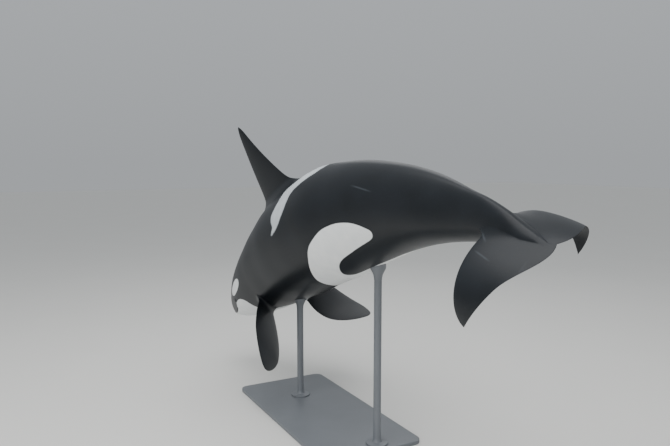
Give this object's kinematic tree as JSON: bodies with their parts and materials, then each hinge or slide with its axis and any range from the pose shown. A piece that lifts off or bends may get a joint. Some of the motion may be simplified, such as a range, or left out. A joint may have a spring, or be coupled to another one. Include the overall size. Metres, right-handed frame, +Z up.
{
  "type": "orca",
  "caption": "Life-size orca diving away with its back arched, black with white patches, held on a plain flat stand by upright rods.",
  "frame": {"origin": "middle of the stand base's underside, on the floor", "axes": "+Z up, +X toward the animal's head along its length, +Y toward its left side"},
  "size_m": [5.6754, 1.6077, 3.2006],
  "materials": {
    "black_skin": "wet satin",
    "white_skin": "wet satin",
    "eye": "polished",
    "stand_paint": "satin"
  },
  "bodies": {
    "root": {"head": "black_skin", "lower_jaw": "white_skin", "eye_left": "eye", "eye_right": "eye", "torso_front": "black_skin", "torso_middle": "black_skin", "torso_rear": "black_skin", "tail_stock": "black_skin", "dorsal_fin": "black_skin", "flipper_left": "black_skin", "flipper_right": "black_skin", "fluke_left": "black_skin", "fluke_right": "black_skin", "stand_base": "stand_paint", "stand_rod_front": "stand_paint", "stand_rod_rear": "stand_paint"}
  },
  "joints": []
}
